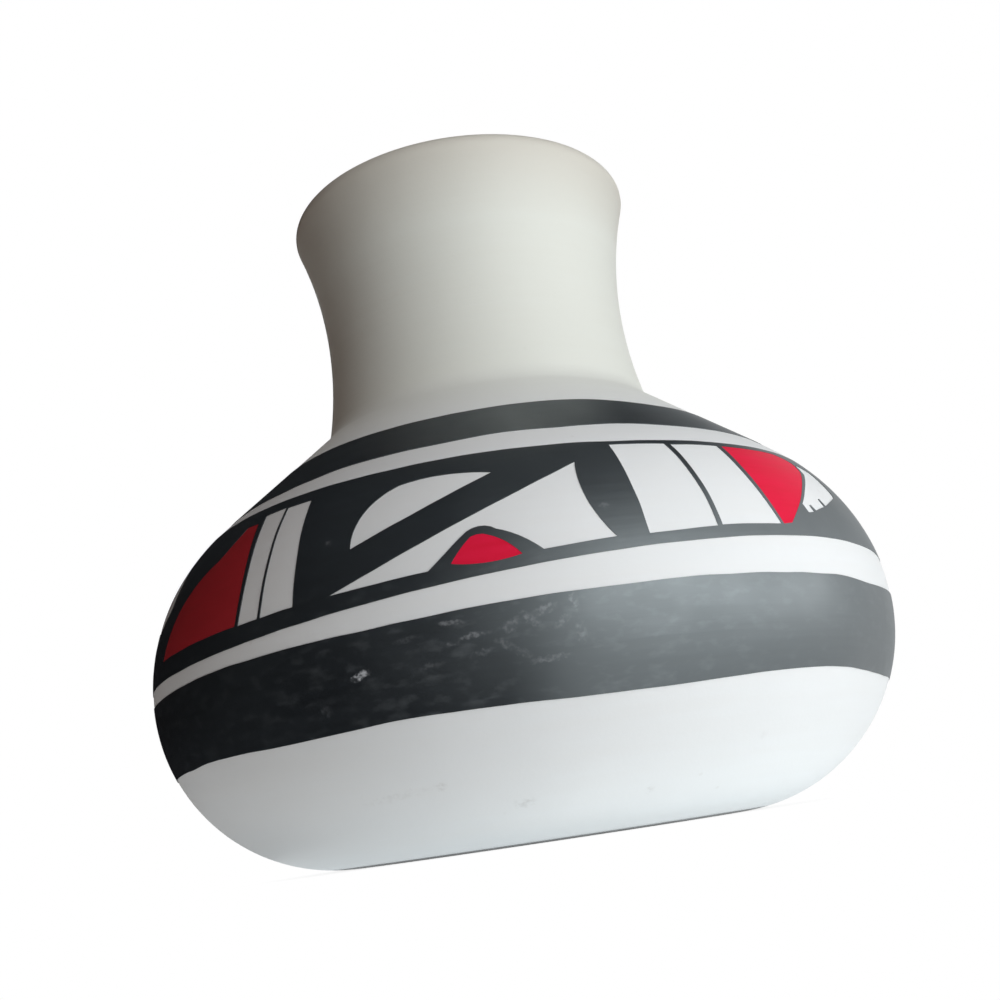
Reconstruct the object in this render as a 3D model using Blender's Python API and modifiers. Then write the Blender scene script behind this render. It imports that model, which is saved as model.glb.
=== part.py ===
"""Small painted pottery jar: four clay sections lapped together under raised black and red paint."""

import math

import bmesh
import bpy

MM = 0.001

# Turned shape of the jar, all on its outer face.
BELLY_RADIUS = 60.0 * MM
BELLY_HEIGHT = 29.0 * MM
SHOULDER_ROUND = 30.5 * MM
SHOULDER_SLOPE = math.radians(39.5)
NECK_ROOT_ROUND = 6.5 * MM
NECK_CURVE = 69.5 * MM
WAIST_RADIUS = 26.2 * MM
WAIST_HEIGHT = 86.4 * MM
JAR_HEIGHT = 111.8 * MM
WALL = 4.5 * MM

# Painted bands, stacked up the outer face from the edge of the foot. The bare stripes show the white clay.
PAINT = 0.3 * MM
BELT_LOW = 32.9 * MM
BELT_WIDTH = 12.3 * MM
LOWER_STRIPE = 3.55 * MM
FRIEZE_LINE = 2.15 * MM
FRIEZE_WIDTH = 16.9 * MM
UPPER_STRIPE = 4.85 * MM
COLLAR_WIDTH = 10.8 * MM
# How far the frieze's lower border climbs to the right and sinks to the left.
FRIEZE_LEAN = 2.2 * MM

# The clay sections meet in half laps: the lower section has the inner tongue, the upper one the outer skirt.
# The base seam is measured in from the edge of the foot, the belly seam is hidden under the belt, and the neck
# is joined on in the crease at its root.
BASE_MARGIN = 9.0 * MM
SEAM_COVER = 4.0 * MM
LAP = 5.0 * MM
CLEARANCE = 0.3 * MM

BELT_HIGH = BELT_LOW + BELT_WIDTH
FRIEZE_LOW = BELT_HIGH + LOWER_STRIPE + FRIEZE_LINE
FRIEZE_HIGH = FRIEZE_LOW + FRIEZE_WIDTH
COLLAR_LOW = FRIEZE_HIGH + FRIEZE_LINE + UPPER_STRIPE
COLLAR_HIGH = COLLAR_LOW + COLLAR_WIDTH
BASE_SEAM = -BASE_MARGIN
BELLY_SEAM = BELT_LOW + SEAM_COVER

# The frieze repeats round the jar. Its figures are drawn on a flat plan: degrees round the jar to the right,
# millimetres up from the lower border. A third number is the height of an arc on the side that follows,
# bulging out of the figure when it is positive. Plain black ground is left before the first figure of a repeat
# and after its last one.
REPEATS = 3
GROUND_BEFORE = 1.3
GROUND_AFTER = 4.0
WINDOWS = {
    "leaf": [(-19.8, 5.8, 0.4), (-0.6, 14.1, 0.85), (-13.7, 15.0, 1.75)],
    "sweep": [(-22.8, 0), (-9.7, 0, -4.8), (4.3, 0), (13.4, 0.3, -1.4), (10.9, 14.1, -1.0)],
    "dome": [(-6.9, 0), (1.7, 0, 3.5)],
    "third_stripe": [(17.2, 0.2), (27.2, 0.7, 0.1), (25.2, 17.6), (17.1, 17.8)],
    "fourth_stripe": [(28.3, 0.5), (37.4, 0.4, -1.2), (34.8, 17.1), (26.5, 17.3, -0.2)],
    "lens": [(38.7, 0.9), (40.7, 1.1, 1.3), (50.3, 15.3, 0.6), (36.0, 17.1, 1.3)],
    "feather": [(45.0, 2.7, 1.9), (57.5, 12.4, 1.5)],
    "fan": [(60.9, 0.3), (80.9, 0.2, 0.9), (79.6, 16.3), (78.0, 16.1, 0.6)],
    "first_stripe": [(81.9, 0), (85.6, 0, 0.7), (85.2, 17.6), (80.6, 17.5, -1.3)],
    "second_stripe": [(86.6, 0), (91.9, 0, 0.4), (91.2, 17.3), (86.5, 17.4, -0.4)],
}
RED_FIGURES = ("fan", "dome", "lens")
CORNERS = [corner for corners in WINDOWS.values() for corner in corners]
PLAN_HEIGHT = max(corner[1] for corner in CORNERS)
PLAN_START = min(corner[0] for corner in CORNERS) - GROUND_BEFORE
PLAN_WIDTH = max(corner[0] for corner in CORNERS) + GROUND_AFTER - PLAN_START

WHITE = (0.78, 0.76, 0.72)
BLACK = (0.012, 0.012, 0.014)
RED = (0.55, 0.012, 0.035)

# How finely round surfaces are faceted: flats round the jar, and the most that a flat stands off its arc.
TURNS = 60
FLAT = 0.12 * MM
PLAN_ROWS = 4


def flats(radius, swing):
    return math.ceil(abs(swing) / (2 * math.acos(1 - FLAT / max(radius, 2 * FLAT))))


def clear_scene():
    for old in list(bpy.data.objects):
        bpy.data.objects.remove(old, do_unlink=True)


def arc(centre, radius, start, end, side):
    """A round stretch of the outer face. Side is 1 where the face bulges out and -1 where it hollows."""
    length = abs(end - start) * radius

    def at(distance):
        angle = start + (end - start) * distance / length
        normal = (side * math.cos(angle), side * math.sin(angle))
        return (centre[0] + radius * math.cos(angle), centre[1] + radius * math.sin(angle)), normal

    return length, at, flats(radius, end - start)


def straight(first, last):
    length = math.dist(first, last)
    along = ((last[0] - first[0]) / length, (last[1] - first[1]) / length)

    def at(distance):
        return (first[0] + along[0] * distance, first[1] + along[1] * distance), (along[1], -along[0])

    return length, at, 1


def outer_face():
    """The stretches of the outer face from the axis under the foot to the start of the lip."""
    foot_radius = BELLY_RADIUS - BELLY_HEIGHT
    foot = straight((0, 0), (foot_radius, 0))
    heel = arc((foot_radius, BELLY_HEIGHT), BELLY_HEIGHT, -math.pi / 2, 0, 1)
    rise = math.pi / 2 - SHOULDER_SLOPE
    shoulder = arc((BELLY_RADIUS - SHOULDER_ROUND, BELLY_HEIGHT), SHOULDER_ROUND, 0, rise, 1)
    top, out = shoulder[1](shoulder[0])
    up = (-math.cos(SHOULDER_SLOPE), math.sin(SHOULDER_SLOPE))
    # The hollow at the root of the neck touches both the slope and the long curve of the neck.
    neck_centre = (WAIST_RADIUS + NECK_CURVE, WAIST_HEIGHT)
    aside = (
        top[0] + out[0] * NECK_ROOT_ROUND - neck_centre[0],
        top[1] + out[1] * NECK_ROOT_ROUND - neck_centre[1],
    )
    half = aside[0] * up[0] + aside[1] * up[1]
    rest = aside[0] ** 2 + aside[1] ** 2 - (NECK_CURVE - NECK_ROOT_ROUND) ** 2
    run = -half + math.sqrt(half * half - rest)
    root = (top[0] + up[0] * run, top[1] + up[1] * run)
    root_centre = (root[0] + out[0] * NECK_ROOT_ROUND, root[1] + out[1] * NECK_ROOT_ROUND)
    turn = math.pi - math.asin((root_centre[1] - WAIST_HEIGHT) / (NECK_CURVE - NECK_ROOT_ROUND))
    hollow = arc(root_centre, NECK_ROOT_ROUND, math.pi + rise, turn, -1)
    flare = math.asin((JAR_HEIGHT - WAIST_HEIGHT - WALL / 2) / (NECK_CURVE + WALL / 2))
    neck = arc(neck_centre, NECK_CURVE, turn, math.pi - flare, -1)
    return foot, heel, shoulder, straight(top, root), hollow, neck


FACE = outer_face()
FACE_START = -FACE[0][0]
FACE_END = sum(stretch[0] for stretch in FACE[1:])
NECK_SEAM = sum(stretch[0] for stretch in FACE[1:4]) + FACE[4][0] / 2


def wall_point(distance, depth):
    """(radius, height) of the point this far up the outer face and this deep in the wall."""
    left = distance - FACE_START
    for length, at, _ in FACE:
        if left <= length + 0.001 * MM:
            break
        left -= length
    (radius, height), normal = at(min(left, length))
    return radius - normal[0] * depth, height - normal[1] * depth


def stations(low, high):
    """Distances up the face, from low to high, that keep its curves."""
    found = [low]
    start = FACE_START
    for length, _, parts in FACE:
        for part in range(parts):
            distance = start + length * part / parts
            if low + 1.0 * MM < distance < high - 1.0 * MM:
                found.append(distance)
        start += length
    return found + [high]


def face_points(low, high, depth):
    return [wall_point(distance, depth) for distance in stations(low, high)]


def skirt(seam):
    """The lower end of a section: its outer half reaches down over the tongue of the section below."""
    depth = (WALL - CLEARANCE) / 2
    low = seam + CLEARANCE / 2
    return [wall_point(low, depth), wall_point(low + LAP, depth)], low, low + LAP


def tongue(seam):
    """The upper end of a section: its inner half reaches up behind the skirt of the section above."""
    depth = (WALL + CLEARANCE) / 2
    low = seam - CLEARANCE / 2
    return [wall_point(low + LAP, depth), wall_point(low, depth)], low, low + LAP


def lip():
    """A half-round from the inner face of the neck over to its outer face."""
    centre = wall_point(FACE_END, WALL / 2)
    start = wall_point(FACE_END, WALL)
    first = math.atan2(start[1] - centre[1], start[0] - centre[0])
    points = []
    for step in range(1, 6):
        angle = first - math.pi * step / 6
        points.append((centre[0] + WALL / 2 * math.cos(angle), centre[1] + WALL / 2 * math.sin(angle)))
    return points


def base_section():
    upper, outer_high, inner_high = tongue(BASE_SEAM)
    under = [wall_point(outer_high, 0), (0, 0)]
    floor = [(0, WALL), wall_point(inner_high, WALL)]
    return under, floor + upper


def wall_section(low_seam, high_seam):
    lower, outer_low, inner_low = skirt(low_seam)
    upper, outer_high, inner_high = tongue(high_seam)
    outside = face_points(outer_low, outer_high, 0)[::-1]
    inside = face_points(inner_low, inner_high, WALL)
    return outside + lower + inside + upper


def neck_section():
    lower, outer_low, inner_low = skirt(NECK_SEAM)
    outside = face_points(outer_low, FACE_END, 0)[::-1]
    inside = face_points(inner_low, FACE_END, WALL)
    return outside + lower + inside + lip()


def paint_band(low, high):
    outside = face_points(low, high, -CLEARANCE - PAINT)[::-1]
    return outside + face_points(low, high, -CLEARANCE)


def material(name, colour, roughness):
    made = bpy.data.materials.new(name)
    made.use_nodes = True
    shader = made.node_tree.nodes["Principled BSDF"]
    shader.inputs["Base Color"].default_value = (*colour, 1)
    shader.inputs["Roughness"].default_value = roughness
    return made


def add(name, mesh, surface):
    made = bpy.data.objects.new(name, mesh)
    made.data.materials.append(surface)
    PARTS.objects.link(made)
    return made


def turned(name, runs, surface):
    """A ring or disc turned about the jar's axis. One run is a closed section, two are open on the axis."""
    points = [point for run in runs for point in run]
    count = len(points)
    edges = [(i, i + 1) for i in range(count - 1)]
    if len(runs) == 1:
        edges.append((count - 1, 0))
    else:
        edges.remove((len(runs[0]) - 1, len(runs[0])))
        edges.append((count - 1, 0))
    mesh = bpy.data.meshes.new(name)
    mesh.from_pydata([(radius, 0, height) for radius, height in points], edges, [])
    made = add(name, mesh, surface)
    screw = made.modifiers.new("Turned round the axis", "SCREW")
    screw.axis = "Z"
    screw.angle = 2 * math.pi
    screw.steps = TURNS
    screw.render_steps = TURNS
    screw.use_merge_vertices = True
    screw.merge_threshold = 0.00001
    screw.use_smooth_shade = True
    return made


def plan_outline(corners, shift):
    """The corners and arcs of a figure as points on the plan, anticlockwise."""
    points = []
    spread = 360 / (REPEATS * PLAN_WIDTH)
    for corner, after in zip(corners, corners[1:] + corners[:1]):
        points.append(((corner[0] + shift) * spread, corner[1]))
        if len(corner) < 3:
            continue
        rise = corner[2]
        chord = math.dist(corner[:2], after[:2])
        radius = (chord * chord / 4 + rise * rise) / (2 * abs(rise))
        swing = 4 * math.atan2(2 * abs(rise), chord)
        parts = max(2, flats(radius * MM, swing))
        along = ((after[0] - corner[0]) / chord, (after[1] - corner[1]) / chord)
        for part in range(1, parts):
            angle = swing * (part / parts - 0.5)
            run = chord / 2 + radius * math.sin(angle)
            off = math.copysign(radius * math.cos(angle) - radius * math.cos(swing / 2), rise)
            points.append(
                (
                    (corner[0] + along[0] * run + along[1] * off + shift) * spread,
                    corner[1] + along[1] * run - along[0] * off,
                )
            )
    return points


def inset_outline(points, margin):
    """The outline moved in by the margin, with mitred corners."""
    moved = []
    for before, here, after in zip(points[-1:] + points[:-1], points, points[1:] + points[:1]):
        sides = []
        for first, last in ((before, here), (here, after)):
            length = math.dist(first, last)
            sides.append(((first[1] - last[1]) / length, (last[0] - first[0]) / length))
        mitre = (sides[0][0] + sides[1][0], sides[0][1] + sides[1][1])
        share = margin / max(0.35, 1 + sides[0][0] * sides[1][0] + sides[0][1] * sides[1][1])
        moved.append((here[0] + mitre[0] * share, here[1] + mitre[1] * share))
    return moved


def frieze_distance(angle, height):
    """How far up the outer face a plan height lies. The lower border leans a little across the jar."""
    low = FRIEZE_LOW + FRIEZE_LEAN * math.sin(math.radians(angle))
    return low + height / PLAN_HEIGHT * (FRIEZE_HIGH - low)


def wrapped_point(angle, height, lift):
    radius, level = wall_point(frieze_distance(angle, height), -lift)
    turn = math.radians(angle)
    return radius * math.sin(turn), -radius * math.cos(turn), level


def on_fold(edge, folds):
    ends = [vert.co for vert in edge.verts]
    return any(all(abs(end[axis] - place) < 0.03 for end in ends) for axis, place in folds)


def wrapped(name, outlines, surface):
    """A layer of paint laid round the shoulder: the first plan outline, with the others cut out of it."""
    plan = bmesh.new()
    rims = []
    for outline in outlines:
        corners = [plan.verts.new((x, y, 0)) for x, y in outline]
        rims += [plan.edges.new(pair) for pair in zip(corners, corners[1:] + corners[:1])]
    bmesh.ops.triangle_fill(plan, use_beauty=True, edges=rims, normal=(0, 0, 1))
    # The layer folds along the flats of the turned clay and along level rows.
    step = 360 / TURNS
    low = min(x for x, _ in outlines[0])
    high = max(x for x, _ in outlines[0])
    folds = [(0, x * step) for x in range(math.ceil(low / step), math.floor(high / step) + 1)]
    folds += [(1, PLAN_HEIGHT * row / PLAN_ROWS) for row in range(1, PLAN_ROWS)]
    for axis, place in folds:
        geometry = plan.verts[:] + plan.edges[:] + plan.faces[:]
        normal = (1 - axis, axis, 0)
        point = (normal[0] * place, normal[1] * place, 0)
        bmesh.ops.bisect_plane(plan, geom=geometry, dist=0.02, plane_co=point, plane_no=normal)
    spare = [edge for edge in plan.edges if not on_fold(edge, folds)]
    bmesh.ops.dissolve_limit(plan, angle_limit=0.002, verts=plan.verts[:], edges=spare)
    bmesh.ops.triangulate(plan, faces=plan.faces[:])
    places = {}
    tops = []
    for face in plan.faces:
        corners = face.verts[:] if face.normal.z > 0 else face.verts[::-1]
        ids = [places.setdefault((round(v.co.x % 360, 3), round(v.co.y, 3)), len(places)) for v in corners]
        tops.append(ids)
    plan.free()
    count = len(places)
    points = [wrapped_point(x, y, CLEARANCE + PAINT) for x, y in places]
    points += [wrapped_point(x, y, CLEARANCE) for x, y in places]
    sides = {(a, b) for ids in tops for a, b in zip(ids, ids[1:] + ids[:1])}
    walls = [(b, a, a + count, b + count) for a, b in sorted(sides) if (b, a) not in sides]
    unders = [[i + count for i in reversed(ids)] for ids in tops]
    mesh = bpy.data.meshes.new(name)
    mesh.from_pydata(points, [], tops + unders + walls)
    return add(name, mesh, surface)


def paint_frieze():
    start = PLAN_START * 360 / (REPEATS * PLAN_WIDTH)
    end = start + 360
    line = FRIEZE_LINE / FRIEZE_WIDTH * PLAN_HEIGHT
    border = [(start, -line), (end, -line), (end, PLAN_HEIGHT + line), (start, PLAN_HEIGHT + line)]
    cut = []
    for repeat in range(REPEATS):
        cut += [plan_outline(corners, repeat * PLAN_WIDTH) for corners in WINDOWS.values()]
    wrapped("black_frieze_linework", [border] + cut, material("Black frieze paint", BLACK, 0.45))
    for figure in RED_FIGURES:
        for repeat in range(REPEATS):
            outline = plan_outline(WINDOWS[figure], repeat * PLAN_WIDTH)
            name = f"red_{figure}_{repeat + 1}"
            red = material(f"Red paint of {figure} {repeat + 1}", RED, 0.5)
            wrapped(name, [inset_outline(outline, CLEARANCE / MM)], red)


clear_scene()
PARTS = bpy.data.collections.new("Painted pottery jar")
bpy.context.scene.collection.children.link(PARTS)
bowl = wall_section(BASE_SEAM, BELLY_SEAM)
shoulder = wall_section(BELLY_SEAM, NECK_SEAM)
belt = paint_band(BELT_LOW, BELT_HIGH)
collar = paint_band(COLLAR_LOW, COLLAR_HIGH)
turned("base_disc", base_section(), material("White clay of base", WHITE, 0.8))
turned("bowl_wall", [bowl], material("White clay of bowl", WHITE, 0.8))
turned("shoulder_wall", [shoulder], material("White clay of shoulder", WHITE, 0.8))
turned("neck_and_lip", [neck_section()], material("White clay of neck", WHITE, 0.8))
turned("black_belt_band", [belt], material("Black belt paint", BLACK, 0.45))
turned("black_collar_band", [collar], material("Black collar paint", BLACK, 0.45))
paint_frieze()
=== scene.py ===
"""Painted pottery jar: thrown clay under white slip, with black bands, a black frieze and red figures."""

import collections
import math

import bmesh
import bpy
from mathutils import Matrix, Vector, noise


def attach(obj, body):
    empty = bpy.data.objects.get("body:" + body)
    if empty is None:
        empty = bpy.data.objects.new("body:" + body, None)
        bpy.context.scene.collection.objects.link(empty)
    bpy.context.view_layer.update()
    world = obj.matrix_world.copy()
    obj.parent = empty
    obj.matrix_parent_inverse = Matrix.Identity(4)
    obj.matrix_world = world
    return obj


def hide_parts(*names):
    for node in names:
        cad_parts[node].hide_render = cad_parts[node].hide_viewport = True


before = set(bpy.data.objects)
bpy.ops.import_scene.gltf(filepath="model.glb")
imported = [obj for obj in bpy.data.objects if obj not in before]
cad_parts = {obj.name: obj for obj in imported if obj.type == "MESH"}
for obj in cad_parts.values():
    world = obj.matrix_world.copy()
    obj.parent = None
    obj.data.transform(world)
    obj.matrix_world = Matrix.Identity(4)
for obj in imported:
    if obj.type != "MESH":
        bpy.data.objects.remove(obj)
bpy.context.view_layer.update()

MM = 0.001
FRONT = (0, -1, 0)

# Wall of the jar in mm, as (radius, height). The neck is drawn up from a sloping shoulder and ends in a
# round lip.
WALL = 4.5
FOOT_RADIUS = 31.0
HEEL_CENTRE, HEEL_ROUND = (31.0, 29.0), 29.0
SHOULDER_CENTRE, SHOULDER_ROUND, SHOULDER_TURN = (29.5, 29.0), 30.5, 50.5
SLOPE_LOW, SLOPE_HIGH = (48.9004, 52.5345), (29.9743, 68.1360)
ROOT_CENTRE, ROOT_ROUND, ROOT_END = (34.1088, 73.1516), 6.5, 192.1395
NECK_CENTRE, NECK_ROUND, NECK_END = (95.7, 86.4), 69.5, 161.1769
# Where the clay sections are joined, in mm up the outer face from the edge of the foot.
BASE_JOIN, BELLY_JOIN, NECK_JOIN = -9.0, 36.9, 99.1391
# The slip was wiped over the lip and down to this height in the mouth. Below that the inside is bare.
SLIPPED_MOUTH = 98.0

# A pot shaped by hand is never quite round: how far it swells, and how long the swellings are.
SWELL, SWELL_LENGTH = 0.12, 34.0
# Paint stands this high above the slip, and is rooted this deep in it. Red lies under the edge of the black.
BLACK_HEIGHT, RED_HEIGHT, PAINT_ROOT, RED_UNDERLAP = 0.09, 0.05, 0.1, 0.22
# The brush strays this far from its line, in waves of this length.
TREMOR, TREMOR_LENGTH = 0.09, 4.5

# Spacing of the mesh: steps round the jar and over the lip, mm along the face, and mm along a drawn line.
TURNS, LIP_PARTS = 240, 16
CLAY_STEP, ROOT_STEP, PAINT_STEP, LINE_STEP = 1.2, 0.3, 1.0, 0.8
CRISP_EDGE = math.radians(40)
# Points nearer than this are one, in mm and on a drawn plan. A face whose normal rises this far lies level.
NEAR, PLAN_NEAR, LEVEL = 0.001, 0.01, 0.95
# Rough radius of the painted face, for the brush's waves.
PAINT_RADIUS = 55

# Freehand edges of the painted bands: degrees round the jar, to the right of the front, and mm up the face.
BELT_LOW = [(-60, 32.9), (-48, 33.1), (-30, 32.75), (-15, 33.1), (13, 32.45), (42, 33.3), (66, 32.3),
            (100, 33.0), (140, 32.6), (180, 33.1), (225, 32.7), (265, 33.1)]
BELT_HIGH = [(-63, 44.1), (-40, 44.65), (-22, 44.75), (8, 45.4), (26, 45.7), (46, 45.65), (58, 45.0),
             (95, 45.4), (140, 44.8), (190, 45.3), (240, 44.9), (270, 45.2)]
FRIEZE_LOW = [(-60, 46.5), (48, 51.0), (90, 50.7), (270, 46.7)]
FRIEZE_HIGH = [(-44.6, 70.0), (-7.8, 69.4), (11.5, 69.0), (18, 68.6), (35.5, 68.5), (60, 68.6), (90, 69.3),
               (150, 69.0), (220, 69.6), (270, 70.0)]
COLLAR_LOW = [(-42.5, 73.9), (-35.1, 74.3), (-26.3, 75.05), (-7.7, 74.75), (1.8, 75.25), (11.3, 74.85),
              (20.6, 75.0), (36.3, 74.3), (90, 74.9), (180, 74.6), (250, 74.9)]
COLLAR_HIGH = [(-40.2, 86.0), (-13.2, 85.5), (18.5, 85.95), (41, 84.5), (110, 85.6), (200, 85.5), (270, 86.0)]

# One repeat of the frieze. Corners are degrees to the right and mm up from the lower border's inner edge.
# A third number is the rise of an arc on the side that follows, outwards where it is positive.
REPEATS, REPEAT_WIDTH, REPEAT_START = 3, 120.0, -24.0
FRIEZE_FLOOR, FRIEZE_CEILING, FRIEZE_LEAN, FIGURE_HEIGHT, BORDER = 50.9, 67.8, 2.2, 17.8, 2.15
FIGURES = {
    "leaf": [(-19.8, 5.8, 0.4), (-0.6, 14.1, 0.85), (-13.7, 15.0, 1.75)],
    "sweep": [(-22.8, 0), (-9.7, 0), (-4.6, 4.5, -0.65), (-1.0, 4.1, -0.42), (4.3, 0), (13.4, 0.3, -1.4),
              (10.9, 14.1, -1.0)],
    "dome": [(-6.9, 0.35, 0.6), (1.75, -0.1, 0.45), (-2.7, 3.75, 0.12), (-4.15, 3.65, 0.12)],
    "third_stripe": [(17.5, 0.1), (27.2, 0.4, 0.2), (26.1, 17.65), (17.05, 17.8)],
    "fourth_stripe": [(27.9, 0.5), (38.0, 0.4, -0.5), (35.9, 17.5), (27.0, 17.4, -0.15)],
    "lens": [(38.45, 0.4), (40.3, 0.6), (52.6, 12.6, 0.3), (53.6, 15.6, 0.4), (49.4, 17.5),
             (36.8, 17.4, 0.5)],
    "feather": [(44.9, 4.4), (45.3, 2.7), (46.9, 3.0), (46.6, 4.3), (46.9, 4.4), (47.6, 3.3), (51.0, 4.4),
                (50.7, 6.0), (51.0, 6.1), (51.7, 4.7), (58.3, 7.5), (59.0, 8.2, 0.3), (58.6, 14.2, 0.15),
                (54.5, 15.4), (53.4, 12.3)],
    "fan": [(60.0, 0.3), (81.6, 0.1, 1.1), (80.6, 16.2), (77.8, 16.3, -0.35), (73.6, 11.7, 1.6)],
    "first_stripe": [(82.2, 0), (85.9, 0, 0.7), (86.0, 17.6), (81.5, 17.5, -1.1)],
    "second_stripe": [(86.35, 0), (91.9, 0, 0.4), (91.2, 17.3), (86.45, 17.4, -0.65)],
}
# The first fan was fitted into less room than the others.
NARROW_FAN = [(71.5, 0.3), (81.6, 0.1, 1.1), (80.6, 16.2), (78.2, 16.2, 0.9)]
RED_FIGURES = ("fan", "dome", "lens")

# Marks: degrees to the right, mm up the face, half length and half width in mm, tilt in degrees, and
# strength. One stronger than 1 is less broken. On the black they are a chip in the belt, the scuffs beside
# it, which are partly scuffing and partly painted sheen, and two spots in the frieze. On the slip they are
# dirt.
BLACK_MARKS_AND_SHEEN = [
    (-19.8, 39.4, 1.35, 0.45, 12, 1.4), (-25.4, 36.0, 0.8, 0.7, 0, 0.12), (-7.7, 43.7, 1.7, 0.3, -6, 0.26),
    (-5.2, 41.8, 2.0, 0.35, 4, 0.27), (-8.1, 41.1, 1.2, 0.3, 10, 0.18), (-13.5, 42.6, 1.5, 0.4, 6, 0.12),
    (3.4, 43.6, 1.5, 0.6, 20, 0.22), (1.6, 42.6, 1.6, 0.55, -40, 0.2), (-0.7, 42.3, 1.3, 0.7, 30, 0.18),
    (-1.8, 40.2, 1.3, 0.5, -25, 0.17), (-0.1, 38.9, 1.4, 0.45, -25, 0.17), (3.3, 37.7, 2.4, 0.4, 4, 0.2),
    (7.2, 40.3, 0.7, 1.2, 0, 0.16), (6.8, 44.1, 0.5, 1.4, 12, 0.16), (-4.6, 39.6, 1.6, 0.4, 12, 0.14),
    (5.2, 41.9, 1.2, 0.5, 35, 0.15), (-10.8, 39.0, 1.5, 0.4, 3, 0.1), (-23.2, 57.6, 0.6, 0.5, 0, 0.16),
    (12.8, 56.2, 0.7, 0.45, 0, 0.16),
]
SLIP_MARKS = [
    (-13.8, 22.9, 0.7, 0.5, 30, 0.17), (-3.0, 17.7, 1.5, 0.45, 4, 0.17), (16.8, 16.8, 0.7, 0.5, 0, 0.12),
    (-20.4, 22.5, 5.5, 0.5, 5, 0.07), (34.0, 24.0, 0.8, 0.5, 10, 0.05), (152.0, 27.0, 2.4, 0.5, -8, 0.08),
    (-118.0, 19.0, 1.2, 0.6, 15, 0.1), (98.0, 14.0, 3.0, 0.5, 3, 0.07),
]
# A mark's depth, the grain that makes it ragged and how far that moves its edge, in mm. Then where it fades,
# as a share of its size, the grain's values between which it is broken and whole, and what the breaks keep.
MARK_DEPTH, MARK_GRAIN, MARK_STRAY = 3.0, 0.6, 1.1
MARK_FADE, MARK_GRAIN_RANGE, MARK_GAPS = (0.5, 1.2), (0.42, 0.62), 0.12
# A yellower, then greyer tint that grows with height: the heights in mm where it starts and is full, its
# strength there, its colour.
NECK_TINT = [(57, 72, 0.5, "d5dacc"), (98, 110, 0.4, "b3a99c")]


def linear(hexadecimal):
    """An sRGB hex colour as the linear values that shaders take."""
    values = [int(hexadecimal[i:i + 2], 16) / 255 for i in (0, 2, 4)]
    return [v / 12.92 if v <= 0.04045 else ((v + 0.055) / 1.055) ** 2.4 for v in values] + [1]


def node(tree, kind, inputs, **settings):
    """Adds a node. Each input is a value to set, or the output of another node to link."""
    made = tree.nodes.new("ShaderNode" + kind)
    for name, value in settings.items():
        setattr(made, name, value)
    for name, value in inputs.items():
        if isinstance(value, bpy.types.NodeSocket):
            tree.links.new(value, made.inputs[name])
        else:
            made.inputs[name].default_value = value
    return made


def new_material(name):
    made = bpy.data.materials.new(name)
    made.use_nodes = True
    tree = made.node_tree
    place = node(tree, "TexCoord", {}).outputs["Object"]
    return made, tree, tree.nodes["Principled BSDF"], place


def mark_strength(tree, place, marks):
    """How strongly a place is marked. The marks are soft and ragged, as rubbed grime and chips are, and so
    are the patches of painted sheen among them.
    """
    ragged = node(tree, "TexNoise", {"Vector": place, "Scale": 1 / (MARK_GRAIN * MM), "Detail": 4.0})
    strayed = node(tree, "VectorMath", {0: ragged.outputs["Color"], 1: [MARK_STRAY * MM] * 3, 2: place},
                   operation="MULTIPLY_ADD")
    # The noise averages a half, so its mean stray is taken off again.
    centred = node(tree, "VectorMath", {0: strayed.outputs[0], 1: [MARK_STRAY / 2 * MM] * 3},
                   operation="SUBTRACT")
    # Each mark lies over those before it.
    marked = 0.0
    for angle, distance, length, width, tilt, strength in marks:
        turn = math.radians(angle)
        radius, height = wall_point(distance)
        spot = Vector((radius * math.sin(turn), -radius * math.cos(turn), height)) * MM
        from_spot = node(tree, "Mapping", {"Vector": centred.outputs[0], "Location": spot,
                                           "Rotation": (0, math.radians(-tilt), turn),
                                           "Scale": Vector((length, MARK_DEPTH, width)) * MM},
                         vector_type="TEXTURE")
        away = node(tree, "VectorMath", {0: from_spot.outputs[0]}, operation="LENGTH")
        mark = node(tree, "MapRange", {"Value": away.outputs["Value"], "From Min": MARK_FADE[0],
                                       "From Max": MARK_FADE[1], "To Min": strength, "To Max": marked})
        marked = mark.outputs[0]
    broken = node(tree, "MapRange", {"Value": ragged.outputs["Fac"], "From Min": MARK_GRAIN_RANGE[0],
                                     "From Max": MARK_GRAIN_RANGE[1], "To Min": MARK_GAPS})
    return node(tree, "Math", {0: marked, 1: broken.outputs[0]}, operation="MULTIPLY").outputs[0]


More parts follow.
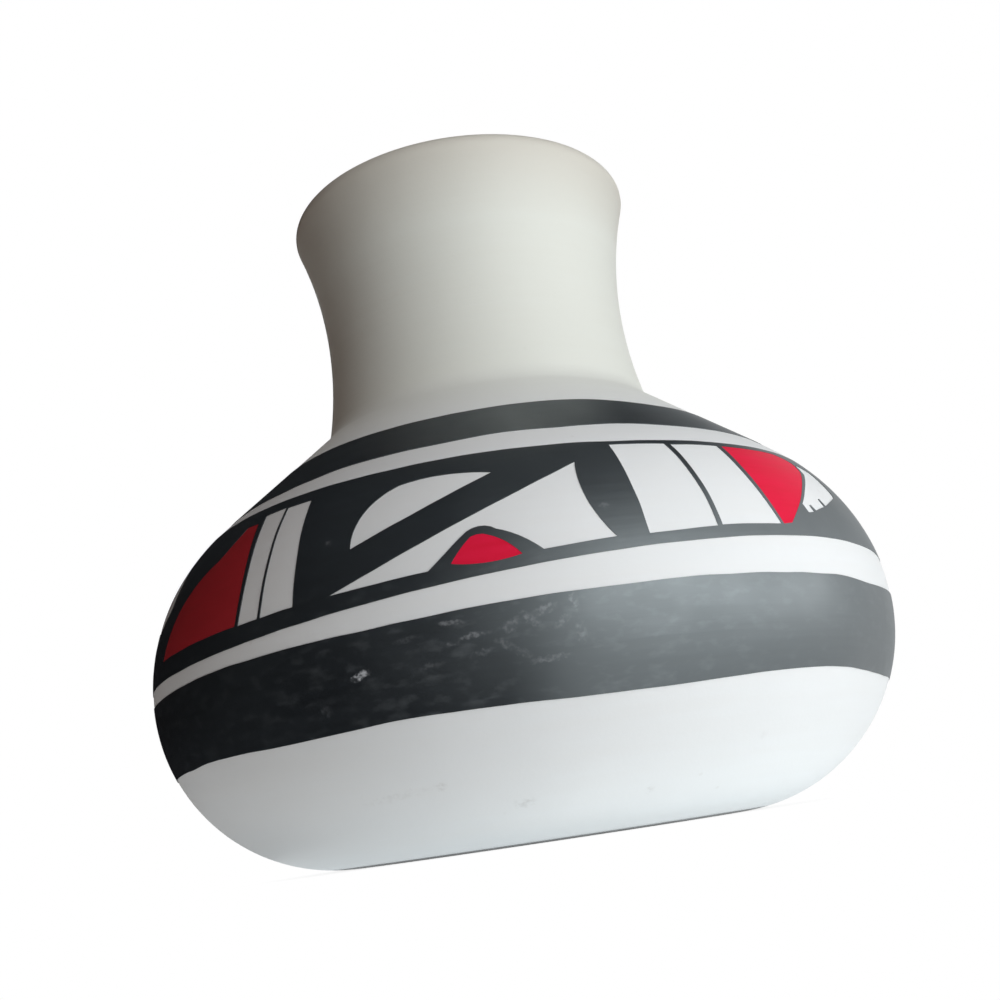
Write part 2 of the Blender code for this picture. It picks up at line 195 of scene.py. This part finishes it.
def white_slip():
    """Fine white clay slip, wiped on and rubbed smooth: matt and faintly clouded, with level wiping marks,
    a few specks, and a tint that grows up the neck."""
    made, tree, shader, place = new_material("White clay slip wiped smooth")
    clouds = node(tree, "TexNoise", {"Vector": place, "Scale": 1 / (26 * MM), "Detail": 4.0})
    level = node(tree, "Mapping", {"Vector": place, "Scale": (1 / (30 * MM), 1 / (30 * MM), 1 / (1.4 * MM))})
    wiping = node(tree, "TexNoise", {"Vector": level.outputs[0], "Scale": 1.0, "Detail": 3.0})
    # Grit of a tenth of a millimetre, drawn at half a millimetre so that it shows.
    grit = node(tree, "TexNoise", {"Vector": place, "Scale": 1 / (0.5 * MM), "Detail": 2.0})
    cells = node(tree, "TexVoronoi", {"Vector": place, "Scale": 1 / (7 * MM)})
    speck = node(tree, "MapRange", {"Value": cells.outputs["Distance"], "From Min": 0.03, "From Max": 0.06,
                                    "To Min": 0.1, "To Max": 0.0})
    slip = node(tree, "Mix", {"Factor": clouds.outputs["Fac"], 6: linear("d8dfe3"), 7: linear("e5ebee")},
                data_type="RGBA")
    streaked = node(tree, "Mix", {"Factor": wiping.outputs["Fac"], 6: slip.outputs[2], 7: linear("dee3e5")},
                    data_type="RGBA")
    specked = node(tree, "Mix", {"Factor": speck.outputs[0], 6: streaked.outputs[2], 7: linear("a5a29a")},
                   data_type="RGBA")
    soiled = node(tree, "Mix", {"Factor": mark_strength(tree, place, SLIP_MARKS), 6: specked.outputs[2],
                                7: linear("6f6c66")}, data_type="RGBA")
    # The slip turns yellower up the neck and greyer at the lip.
    height = node(tree, "SeparateXYZ", {"Vector": place}).outputs["Z"]
    tinted = soiled
    for low, high, strength, tint_colour in NECK_TINT:
        share = node(tree, "MapRange", {"Value": height, "From Min": low * MM, "From Max": high * MM,
                                        "To Max": strength})
        tinted = node(tree, "Mix", {"Factor": share.outputs[0], 6: tinted.outputs[2], 7: linear(tint_colour)},
                        data_type="RGBA")
    tree.links.new(tinted.outputs[2], shader.inputs["Base Color"])
    rough = node(tree, "MapRange", {"Value": wiping.outputs["Fac"], "To Min": 0.52, "To Max": 0.68})
    tree.links.new(rough.outputs[0], shader.inputs["Roughness"])
    marks = node(tree, "Bump", {"Height": wiping.outputs["Fac"], "Strength": 0.6, "Distance": 0.05 * MM})
    skin = node(tree, "Bump", {"Height": grit.outputs["Fac"], "Strength": 0.5, "Distance": 0.02 * MM,
                               "Normal": marks.outputs[0]})
    tree.links.new(skin.outputs[0], shader.inputs["Normal"])
    shader.inputs["IOR"].default_value = 1.5
    shader.inputs["Specular IOR Level"].default_value = 0.3
    return made


def bare_clay():
    """Buff clay left bare inside the jar, as it came off the wheel: dull and sandy, with the rings that
    fingers leave."""
    made, tree, shader, place = new_material("Buff earthenware thrown and left bare")
    # The rings are 4.5 mm apart. The wave texture itself multiplies by 20.
    rings = node(tree, "TexWave", {"Vector": place, "Scale": math.tau / (20 * 4.5 * MM), "Distortion": 1.5,
                                   "Detail": 2.0, "Detail Scale": 1.5}, bands_direction="Z")
    sand = node(tree, "TexNoise", {"Vector": place, "Scale": 1 / (0.8 * MM), "Detail": 4.0})
    clay = node(tree, "Mix", {"Factor": sand.outputs["Fac"], 6: linear("b59a7c"), 7: linear("d3bd9f")},
                data_type="RGBA")
    ringed = node(tree, "Mix", {"Factor": rings.outputs["Fac"], 6: clay.outputs[2], 7: linear("c9b293")},
                  data_type="RGBA")
    tree.links.new(ringed.outputs[2], shader.inputs["Base Color"])
    ridges = node(tree, "Bump", {"Height": rings.outputs["Fac"], "Strength": 0.8, "Distance": 0.4 * MM})
    skin = node(tree, "Bump", {"Height": sand.outputs["Fac"], "Strength": 0.6, "Distance": 0.08 * MM,
                               "Normal": ridges.outputs[0]})
    tree.links.new(skin.outputs[0], shader.inputs["Normal"])
    shader.inputs["Roughness"].default_value = 0.85
    shader.inputs["Specular IOR Level"].default_value = 0.25
    return made


def black_paint():
    """Black mineral paint, brushed round the turning jar and rubbed to a satin: level brush lines, and
    paler in mottles of wear, which at the belt's front are partly painted sheen."""
    made, tree, shader, place = new_material("Black mineral paint brushed and rubbed")
    level = node(tree, "Mapping", {"Vector": place, "Scale": (1 / (22 * MM), 1 / (22 * MM), 1 / (0.9 * MM))})
    brushing = node(tree, "TexNoise", {"Vector": level.outputs[0], "Scale": 1.0, "Detail": 4.0})
    clouds = node(tree, "TexNoise", {"Vector": place, "Scale": 1 / (14 * MM), "Detail": 3.0})
    loose = node(tree, "Mapping", {"Vector": place,
                                   "Scale": (1 / (2.6 * MM), 1 / (2.6 * MM), 1 / (1.2 * MM))})
    scratches = node(tree, "TexNoise", {"Vector": loose.outputs[0], "Scale": 1.0, "Detail": 5.0})
    # Hands take hold of the jar by its belt, so that is where the paint is rubbed. The pale mottling is
    # strongest at the front, where it is partly painted sheen. Above the belt it fades out.
    where = node(tree, "SeparateXYZ", {"Vector": place}).outputs
    front = node(tree, "MapRange", {"Value": where["Y"], "From Min": -58 * MM, "From Max": -44 * MM,
                                    "To Min": 0.16, "To Max": 0.06})
    wear_and_sheen_amount = node(tree, "MapRange", {"Value": where["Z"], "From Min": 30 * MM, "From Max": 36 * MM,
                                      "To Min": front.outputs[0], "To Max": 0.015})
    wear_and_sheen = node(tree, "MapRange", {"Value": scratches.outputs["Fac"], "From Min": 0.52, "From Max": 0.8,
                                   "To Min": 0.0, "To Max": wear_and_sheen_amount.outputs[0]})
    paint = node(tree, "Mix", {"Factor": brushing.outputs["Fac"], 6: linear("0a0d10"), 7: linear("191e23")},
                 data_type="RGBA")
    # Pale mottles of wear, which at the front are partly painted sheen.
    rubbed = node(tree, "Mix", {"Factor": wear_and_sheen.outputs[0], 6: paint.outputs[2], 7: linear("8d959a")},
                  data_type="RGBA")
    # Pale grey marks: the chip and spots, and scuffs that are partly scuffing and partly painted sheen.
    scuffed = node(tree, "Mix", {"Factor": mark_strength(tree, place, BLACK_MARKS_AND_SHEEN), 6: rubbed.outputs[2],
                                 7: linear("b4b9bf")}, data_type="RGBA")
    tree.links.new(scuffed.outputs[2], shader.inputs["Base Color"])
    rough = node(tree, "MapRange", {"Value": clouds.outputs["Fac"], "From Min": 0.3, "From Max": 0.7,
                                    "To Min": 0.43, "To Max": 0.57})
    tree.links.new(rough.outputs[0], shader.inputs["Roughness"])
    lines = node(tree, "Bump", {"Height": brushing.outputs["Fac"], "Strength": 0.6, "Distance": 0.04 * MM})
    tree.links.new(lines.outputs[0], shader.inputs["Normal"])
    shader.inputs["IOR"].default_value = 2.2
    shader.inputs["Specular Tint"].default_value = linear("eefbff")
    shader.inputs["Specular IOR Level"].default_value = 0.55
    return made


def red_paint(name, thin, thick):
    """Red iron-earth paint, filled in with a small brush: matt, and richer where it was brushed twice."""
    made, tree, shader, place = new_material(name)
    level = node(tree, "Mapping", {"Vector": place, "Scale": (1 / (9 * MM), 1 / (9 * MM), 1 / (0.9 * MM))})
    brushing = node(tree, "TexNoise", {"Vector": level.outputs[0], "Scale": 1.0, "Detail": 3.0})
    paint = node(tree, "Mix", {"Factor": brushing.outputs["Fac"], 6: linear(thin), 7: linear(thick)},
                 data_type="RGBA")
    tree.links.new(paint.outputs[2], shader.inputs["Base Color"])
    rough = node(tree, "MapRange", {"Value": brushing.outputs["Fac"], "To Min": 0.42, "To Max": 0.55})
    tree.links.new(rough.outputs[0], shader.inputs["Roughness"])
    lines = node(tree, "Bump", {"Height": brushing.outputs["Fac"], "Strength": 0.5, "Distance": 0.04 * MM})
    tree.links.new(lines.outputs[0], shader.inputs["Normal"])
    shader.inputs["IOR"].default_value = 1.5
    shader.inputs["Specular IOR Level"].default_value = 0.06
    return made


Stretch = collections.namedtuple("Stretch", "length at centre swing")


def bend(centre, radius, start, end):
    """A round stretch of the outer face. It is hollow where it turns clockwise."""
    start, swing = math.radians(start), math.radians(end - start)
    side = math.copysign(1, swing)

    def at(share):
        angle = start + swing * share
        out = side * Vector((math.cos(angle), math.sin(angle)))
        return Vector(centre) + side * radius * out, out

    return Stretch(radius * abs(swing), at, centre, swing)


def straight(first, last):
    first, last = Vector(first), Vector(last)
    along = (last - first).normalized()

    def at(share):
        return first.lerp(last, share), Vector((along.y, -along.x))

    return Stretch((last - first).length, at, None, 0)


NECK_ROOT = bend(ROOT_CENTRE, ROOT_ROUND, 180 + SHOULDER_TURN, ROOT_END)
FACE = [
    straight((0, 0), (FOOT_RADIUS, 0)),
    bend(HEEL_CENTRE, HEEL_ROUND, -90, 0),
    bend(SHOULDER_CENTRE, SHOULDER_ROUND, 0, SHOULDER_TURN),
    straight(SLOPE_LOW, SLOPE_HIGH),
    NECK_ROOT,
    bend(NECK_CENTRE, NECK_ROUND, ROOT_END, NECK_END),
]
FACE_START = -FOOT_RADIUS
FACE_END = FACE_START + sum(stretch.length for stretch in FACE)


def wall_point(distance, lift=0):
    """(radius, height) of the point this far up the outer face and this high above it."""
    left = distance - FACE_START
    for stretch in FACE:
        if left <= stretch.length:
            break
        left -= stretch.length
    point, out = stretch.at(min(left / stretch.length, 1))
    return point + out * lift


def carry(bm, pen, parts, centre=(0, 0, 0), axis=(0, 0, 1), angle=0, along=(0, 0, 0)):
    """Carries a point round a centre or straight along, leaving a line behind it. Returns where it stops."""
    drawn = bmesh.ops.spin(bm, geom=[pen], cent=centre, axis=axis, angle=angle, dvec=Vector(along) / parts,
                           steps=parts)
    return drawn["geom_last"][0]


def in_section(point):
    """A (radius, height) in mm as a place in the section to be turned."""
    return Vector((point[0], 0, point[1])) * MM


def carry_to(bm, pen, point):
    along = in_section(point) - pen.co
    return carry(bm, pen, math.ceil(along.length / (CLAY_STEP * MM)), along=along)


def follow_wall(bm, pen, start, end, depth):
    """Carries the point from one distance up the face to another, this deep in the wall."""
    reached = [FACE_START]
    for stretch in FACE:
        reached.append(reached[-1] + stretch.length)
    legs = list(zip(FACE, reached, reached[1:]))
    for stretch, low, high in legs if end > start else legs[::-1]:
        first, last = (min(max(distance, low), high) for distance in (start, end))
        if abs(last - first) < NEAR:
            continue
        if stretch.centre is None:
            pen = carry_to(bm, pen, wall_point(last, -depth))
        else:
            step = ROOT_STEP if stretch is NECK_ROOT else CLAY_STEP
            parts = math.ceil(abs(last - first) / step)
            turn = stretch.swing * (last - first) / stretch.length
            pen = carry(bm, pen, parts, in_section(stretch.centre), FRONT, turn)
    return pen


def hand_swell(place):
    """How far the hand-formed wall strays from a true round at a place, as an outward move."""
    out = Vector((place.x, place.y, 0))
    return out.normalized() * SWELL * MM * noise.noise(place / (SWELL_LENGTH * MM))


def piece(name, bm, materials, slot, *nodes):
    """Finishes a mesh as a piece of the jar, in place of the solids that it stands for."""
    bmesh.ops.remove_doubles(bm, verts=bm.verts[:], dist=NEAR * MM)
    bmesh.ops.recalc_face_normals(bm, faces=bm.faces[:])
    for vert in bm.verts:
        vert.co += hand_swell(vert.co)
    for face in bm.faces:
        face.smooth = True
    for edge in bm.edges:
        edge.smooth = edge.calc_face_angle(0) < CRISP_EDGE
    mesh = bpy.data.meshes.new(name)
    bm.to_mesh(mesh)
    bm.free()
    made = bpy.data.objects.new(name, mesh)
    for surface in materials:
        mesh.materials.append(surface)
    bpy.context.scene.collection.objects.link(made)
    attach(made, "root")
    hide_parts(*nodes)


def turn_clay(name, bm, node_name):
    """Turns a drawn section about the axis of the jar. The inside, below the wiped mouth, is bare clay."""
    bmesh.ops.remove_doubles(bm, verts=bm.verts[:], dist=NEAR * MM)
    bmesh.ops.spin(bm, geom=bm.verts[:] + bm.edges[:], axis=(0, 0, 1), angle=2 * math.pi, steps=TURNS,
                   use_merge=True)
    bmesh.ops.remove_doubles(bm, verts=bm.verts[:], dist=NEAR * MM)
    bmesh.ops.recalc_face_normals(bm, faces=bm.faces[:])
    for face in bm.faces:
        middle = face.calc_center_median()
        inwards = face.normal.dot(Vector((middle.x, middle.y, 0))) < 0 or face.normal.z > LEVEL
        face.material_index = int(inwards and middle.z < SLIPPED_MOUTH * MM)
    piece(name, bm, [SLIP, BARE], "white_clay", node_name)


def clay_base():
    bm = bmesh.new()
    pen = bm.verts.new((0, 0, 0))
    pen = carry_to(bm, pen, wall_point(BASE_JOIN))
    pen = carry_to(bm, pen, wall_point(BASE_JOIN, -WALL))
    carry_to(bm, pen, (0, WALL))
    turn_clay("clay_base", bm, "base_disc")


def clay_ring(name, low, high, node_name):
    """A section of the wall between two joins, or up to the lip."""
    bm = bmesh.new()
    first = bm.verts.new(in_section(wall_point(low)))
    pen = follow_wall(bm, first, low, high, 0)
    if high == FACE_END:
        pen = carry(bm, pen, LIP_PARTS, in_section(wall_point(high, -WALL / 2)), FRONT, math.pi)
    else:
        pen = carry_to(bm, pen, wall_point(high, -WALL))
    pen = follow_wall(bm, pen, high, low, WALL)
    carry_to(bm, pen, wall_point(low))
    turn_clay(name, bm, node_name)


def freehand(knots, angle):
    """The height at this angle of an edge that was drawn freehand round the jar through a few points."""
    around = knots + [(knots[0][0] + 360, knots[0][1])]
    angle = (angle - knots[0][0]) % 360 + knots[0][0]
    for (left, low), (right, high) in zip(around, around[1:]):
        if angle <= right:
            break
    share = (angle - left) / (right - left)
    return low + (high - low) * share * share * (3 - 2 * share)


def tremor(angle, height):
    """How far the brush strays at a place on the plan, along the face."""
    turn = math.radians(angle)
    place = Vector((PAINT_RADIUS * math.cos(turn), PAINT_RADIUS * math.sin(turn), height)) / TREMOR_LENGTH
    return TREMOR * noise.noise(place)


def up_the_face(angle, height):
    return height


def up_the_frieze(angle, height):
    """How far up the face a height on the frieze's plan lies. The borders' outer edges are drawn freehand."""
    floor = FRIEZE_FLOOR + FRIEZE_LEAN * math.sin(math.radians(angle))
    if height < 0:
        return floor + height / BORDER * (floor - freehand(FRIEZE_LOW, angle) - tremor(angle, 0))
    if height > FIGURE_HEIGHT:
        top = freehand(FRIEZE_HIGH, angle) + tremor(angle, FIGURE_HEIGHT)
        return FRIEZE_CEILING + (height - FIGURE_HEIGHT) / BORDER * (top - FRIEZE_CEILING)
    return floor + height / FIGURE_HEIGHT * (FRIEZE_CEILING - floor)


def lay_on(name, bm, climb, height, surface, slot, *nodes):
    """Lays a flat plan of paint on the jar. Its x is degrees round, and climb takes its y up the face."""
    ends = [f(vert.co.x for vert in bm.verts) for f in (min, max)]
    skin = bmesh.ops.extrude_face_region(bm, geom=bm.faces[:])
    for vert in bm.verts:
        vert.co.z = -PAINT_ROOT
    for part in skin["geom"]:
        if isinstance(part, bmesh.types.BMVert):
            part.co.z = height
    if ends[1] - ends[0] > 359:
        # A band closes on itself, so its two ends have no walls.
        walls = [f for f in bm.faces if any(all(abs(v.co.x - end) < NEAR for v in f.verts) for end in ends)]
        bmesh.ops.delete(bm, geom=walls, context="FACES")
    for vert in bm.verts:
        turn = math.radians(vert.co.x)
        radius, level = wall_point(climb(vert.co.x, vert.co.y), vert.co.z)
        vert.co = Vector((radius * math.sin(turn), -radius * math.cos(turn), level)) * MM
    piece(name, bm, [surface], slot, *nodes)


def black_band(name, low, high, node_name):
    """A band brushed round the jar between two freehand edges."""
    bm = bmesh.new()
    rows = math.ceil((high[0][1] - low[0][1]) / PAINT_STEP)
    bmesh.ops.create_grid(bm, x_segments=TURNS, y_segments=rows, size=0.5)
    for vert in bm.verts:
        angle = vert.co.x * 360
        bottom, top = (freehand(knots, angle) + tremor(angle, knots[0][1]) for knots in (low, high))
        vert.co = (angle, bottom + (top - bottom) * (vert.co.y + 0.5), 0)
    lay_on(name, bm, up_the_face, BLACK_HEIGHT, BLACK, "black_paint", node_name)


def draw_figure(bm, figure, repeat):
    """Draws the outline of a figure on the plan, with its arcs, and lets the hand tremble."""
    corners = NARROW_FAN if figure == "fan" and repeat == 0 else FIGURES[figure]
    shift = repeat * REPEAT_WIDTH
    before = set(bm.verts)
    pen = bm.verts.new((*corners[0][:2], 0))
    for corner, after in zip(corners, corners[1:] + corners[:1]):
        along = Vector(after[:2]) - Vector(corner[:2])
        rise = corner[2] if len(corner) > 2 else 0
        if rise:
            radius = (along.length_squared / 4 + rise * rise) / (2 * rise)
            swing = 4 * math.atan2(2 * rise, along.length)
            parts = math.ceil(abs(radius * swing) / LINE_STEP)
            middle = (Vector(corner[:2]) + Vector(after[:2])) / 2
            inwards = Vector((-along.y, along.x)).normalized()
            centre = middle + inwards * (radius - rise)
            pen = carry(bm, pen, parts, (*centre, 0), angle=swing)
        else:
            pen = carry(bm, pen, math.ceil(along.length / LINE_STEP), along=(*along, 0))
    drawn = [vert for vert in bm.verts if vert not in before]
    bmesh.ops.remove_doubles(bm, verts=drawn, dist=PLAN_NEAR)
    for vert in bm.verts:
        if vert in before:
            continue
        angle, height = vert.co.x + shift, vert.co.y
        # The sideways stray is read half a turn away, so that it differs from the upward one.
        vert.co = (angle + tremor(angle + 180, height), height + tremor(angle, height), 0)


def fill_plan(bm, underlap=0):
    """Fills the outlines on a plan, leaves figures inside others open, and cuts it up so that it bends."""
    bmesh.ops.triangle_fill(bm, use_beauty=True, edges=bm.edges[:], normal=(0, 0, 1))
    if underlap:
        bmesh.ops.inset_region(bm, faces=bm.faces[:], thickness=underlap, use_boundary=True, use_outset=True)
    places = [vert.co.copy() for vert in bm.verts]
    for axis, step in ((1, PAINT_STEP), (0, 360 / TURNS)):
        low, high = (f(place[axis] for place in places) for f in (min, max))
        for count in range(math.floor(low / step) + 1, math.ceil(high / step)):
            cut = Vector((0, 0, 0))
            cut[axis] = 1
            everything = bm.verts[:] + bm.edges[:] + bm.faces[:]
            bmesh.ops.bisect_plane(bm, geom=everything, dist=PLAN_NEAR, plane_co=cut * count * step,
                                   plane_no=cut)


def black_frieze():
    """The two borders and the black between the figures, in one layer with a window for each figure."""
    bm = bmesh.new()
    left, right, low, high = REPEAT_START, REPEAT_START + 360, -BORDER, FIGURE_HEIGHT + BORDER
    corners = ((left, low), (right, low), (right, high), (left, high))
    border = [bm.verts.new((*corner, 0)) for corner in corners]
    for pair in zip(border, border[1:] + border[:1]):
        bm.edges.new(pair)
    for repeat in range(REPEATS):
        for figure in FIGURES:
            draw_figure(bm, figure, repeat)
    fill_plan(bm)
    lay_on("black_frieze", bm, up_the_frieze, BLACK_HEIGHT, BLACK, "black_paint", "black_frieze_linework")


def red_figure(figure, repeat):
    """A figure filled in with red, to just under the edge of its window."""
    bm = bmesh.new()
    draw_figure(bm, figure, repeat)
    fill_plan(bm, RED_UNDERLAP)
    name = f"red_{figure}_{repeat + 1}"
    # The fans take the darker red, which is partly painted shade.
    paint = SHADED_RED if figure == "fan" else RED
    lay_on("painted_" + name, bm, up_the_frieze, RED_HEIGHT, paint, "red_paint", name)


SLIP, BARE, BLACK = white_slip(), bare_clay(), black_paint()
RED = red_paint("Red earth paint brushed in once", "d01a36", "e0244a")
# A darker red for the fans: partly a deeper paint, partly painted shade on them.
SHADED_RED = red_paint("Red earth paint brushed over twice", "9a262c", "aa2e36")
clay_base()
clay_ring("clay_bowl", BASE_JOIN, BELLY_JOIN, "bowl_wall")
clay_ring("clay_shoulder", BELLY_JOIN, NECK_JOIN, "shoulder_wall")
clay_ring("clay_neck", NECK_JOIN, FACE_END, "neck_and_lip")
black_band("black_belt", BELT_LOW, BELT_HIGH, "black_belt_band")
black_band("black_collar", COLLAR_LOW, COLLAR_HIGH, "black_collar_band")
black_frieze()
for figure in RED_FIGURES:
    for repeat in range(REPEATS):
        red_figure(figure, repeat)

# Studio: white paper, a window lamp on the right with one over it and one beside it, a back lamp, a low fill
# lamp lying on the paper, and a grey tent, open to the right, that the paint's shine shows as its dark side.
# Places and sizes are in metres, angles in degrees and powers in watts.
FLOOR_RADIUS, FLOOR_SIDES, FLOOR_LIFT, SHADOW_REACH = 3.0, 64, 0.8, (0.03, 0.047)
WINDOW_PLACE, WINDOW_SIZE, WINDOW_POWER, WINDOW_AIM = (0.2, -0.25, 0.05), (0.2, 0.12), 0.43, 0.04
UPPER_PLACE, UPPER_SIZE, UPPER_POWER, UPPER_AIM = (0.12, -0.24, 0.28), (0.2, 0.2), 0.4, 0.08
SIDE_PLACE, SIDE_SIZE, SIDE_POWER, SIDE_AIM = (0.3, -0.08, 0.045), (0.2, 0.08), 0.14, 0.04
BACK_PLACE, BACK_SIZE, BACK_POWER, BACK_AIM, BACK_SPREAD = (-0.04, 0.3, 0.17), (0.3, 0.24), 0.25, 0.07, 80
LOW_PLACE, LOW_SIZE, LOW_POWER, LOW_AIM = (0, 0, 0.00012), (0.2, 0.2), 0.042, 1.0
TENT_RADIUS, TENT_START, TENT_SWEEP, GROUND_SHEET, ROOF_LOW = 0.42, 4, 199, 0.045, 45
TENT_RINGS, TENT_SIDES, TENT_LIFT = 12, 32, 0.0005
DIM_WORLD = "3f2511"
CAMERA_PLACE, CAMERA_PITCH, CAMERA_ROLL = Vector((0, -0.20615, 0.0017)), 15.157, 8.484
CAMERA_LENS, CAMERA_SENSOR, CAMERA_NEAR = 44.19, 36, 0.005


def seen_directly(tree):
    """1 where the eye, a reflection or clear glass meets a surface, and 0 where it only lights the jar."""
    rays = node(tree, "LightPath", {}).outputs
    seen = node(tree, "Math", {0: rays["Is Camera Ray"], 1: rays["Is Glossy Ray"]}, operation="MAXIMUM")
    through = node(tree, "Math", {0: seen.outputs[0], 1: rays["Is Transmission Ray"]}, operation="MAXIMUM")
    return through.outputs[0]


def white_world():
    """White to look at. As light it is the dim warm glow of a room."""
    world = bpy.data.worlds.new("White studio")
    bpy.context.scene.world = world
    world.use_nodes = True
    tree = world.node_tree
    glow = node(tree, "Mix", {"Factor": seen_directly(tree), 6: linear(DIM_WORLD), 7: linear("ffffff")},
                data_type="RGBA")
    tree.links.new(glow.outputs[2], tree.nodes["Background"].inputs["Color"])


def stage_object(name, bm, surface):
    mesh = bpy.data.meshes.new(name)
    bm.to_mesh(mesh)
    bm.free()
    mesh.materials.append(surface)
    made = bpy.data.objects.new(name, mesh)
    bpy.context.scene.collection.objects.link(made)
    return made


def paper_floor():
    """White paper: it shows the shadow near the jar and fades into the white background further off."""
    made, tree, shader, place = new_material("White paper sweep")
    shader.inputs["Base Color"].default_value = linear("f4f4f2")
    shader.inputs["Roughness"].default_value = 0.9
    shader.inputs["Specular IOR Level"].default_value = 0.0
    far = node(tree, "VectorMath", {0: place}, operation="LENGTH").outputs["Value"]
    fade = node(tree, "MapRange", {"Value": far, "From Min": SHADOW_REACH[0], "From Max": SHADOW_REACH[1],
                                   "To Min": FLOOR_LIFT})
    share = node(tree, "Math", {0: fade.outputs[0], 1: seen_directly(tree)}, operation="MULTIPLY")
    glow = node(tree, "Emission", {"Color": linear("ffffff"), "Strength": 1.0})
    mixed = node(tree, "MixShader", {0: share.outputs[0], 1: shader.outputs[0], 2: glow.outputs[0]})
    tree.links.new(mixed.outputs[0], tree.nodes["Material Output"].inputs["Surface"])
    bm = bmesh.new()
    bmesh.ops.create_circle(bm, cap_ends=True, radius=FLOOR_RADIUS, segments=FLOOR_SIDES)
    stage_object("floor", bm, made)


def grey_tent():
    """A round tent of grey card with a ground sheet, and a roof over its open side. Only shine shows it."""
    card, _, shader, _ = new_material("Dark grey card")
    shader.inputs["Base Color"].default_value = linear("4a4c52")
    shader.inputs["Roughness"].default_value = 0.9
    shader.inputs["Specular IOR Level"].default_value = 0.0
    opening = 360 - TENT_SWEEP
    for name, low, start, sweep in (("tent_wall", 0, TENT_START, TENT_SWEEP),
                                    ("tent_roof", ROOF_LOW, TENT_START + opening, opening)):
        bm = bmesh.new()
        low = math.radians(low)
        pen = bm.verts.new((TENT_RADIUS * math.cos(low), 0, TENT_RADIUS * math.sin(low)))
        if not low:
            pen.co.x = GROUND_SHEET
            pen = carry(bm, pen, 1, along=(TENT_RADIUS - GROUND_SHEET, 0, 0))
        carry(bm, pen, TENT_RINGS, axis=FRONT, angle=math.pi / 2 - low)
        bmesh.ops.rotate(bm, verts=bm.verts[:], matrix=Matrix.Rotation(math.radians(start - 90), 3, "Z"))
        bmesh.ops.spin(bm, geom=bm.verts[:] + bm.edges[:], axis=(0, 0, -1), angle=math.radians(sweep),
                       steps=TENT_SIDES)
        bmesh.ops.translate(bm, verts=bm.verts[:], vec=(0, 0, TENT_LIFT))
        made = stage_object(name, bm, card)
        made.visible_camera = made.visible_diffuse = made.visible_shadow = False


def lamp(name, place, size, power, aim, spread=180, in_shine=True):
    """A soft lamp, turned to a height on the axis of the jar. The paint's shine need not show it."""
    light = bpy.data.lights.new(name, "AREA")
    light.shape = "RECTANGLE"
    light.size, light.size_y = size
    light.energy = power
    light.spread = math.radians(spread)
    made = bpy.data.objects.new(name, light)
    made.location = place
    made.rotation_euler = (Vector(place) - Vector((0, 0, aim))).to_track_quat("Z", "Y").to_euler()
    made.visible_camera = False
    made.visible_glossy = in_shine
    bpy.context.scene.collection.objects.link(made)


def camera():
    lens = bpy.data.cameras.new("camera")
    lens.lens = CAMERA_LENS
    lens.sensor_width = CAMERA_SENSOR
    lens.clip_start = CAMERA_NEAR
    made = bpy.data.objects.new("camera", lens)
    pitch = Matrix.Rotation(math.radians(90 + CAMERA_PITCH), 4, "X")
    roll = Matrix.Rotation(math.radians(-CAMERA_ROLL), 4, "Z")
    made.matrix_world = Matrix.Translation(CAMERA_PLACE) @ pitch @ roll
    bpy.context.scene.collection.objects.link(made)
    bpy.context.scene.camera = made


white_world()
paper_floor()
grey_tent()
lamp("window_lamp", WINDOW_PLACE, WINDOW_SIZE, WINDOW_POWER, WINDOW_AIM)
lamp("upper_lamp", UPPER_PLACE, UPPER_SIZE, UPPER_POWER, UPPER_AIM, in_shine=False)
lamp("side_lamp", SIDE_PLACE, SIDE_SIZE, SIDE_POWER, SIDE_AIM)
lamp("back_lamp", BACK_PLACE, BACK_SIZE, BACK_POWER, BACK_AIM, BACK_SPREAD, in_shine=False)
lamp("low_fill", LOW_PLACE, LOW_SIZE, LOW_POWER, LOW_AIM, in_shine=False)
camera()
bpy.context.scene.view_settings.view_transform = "Standard"
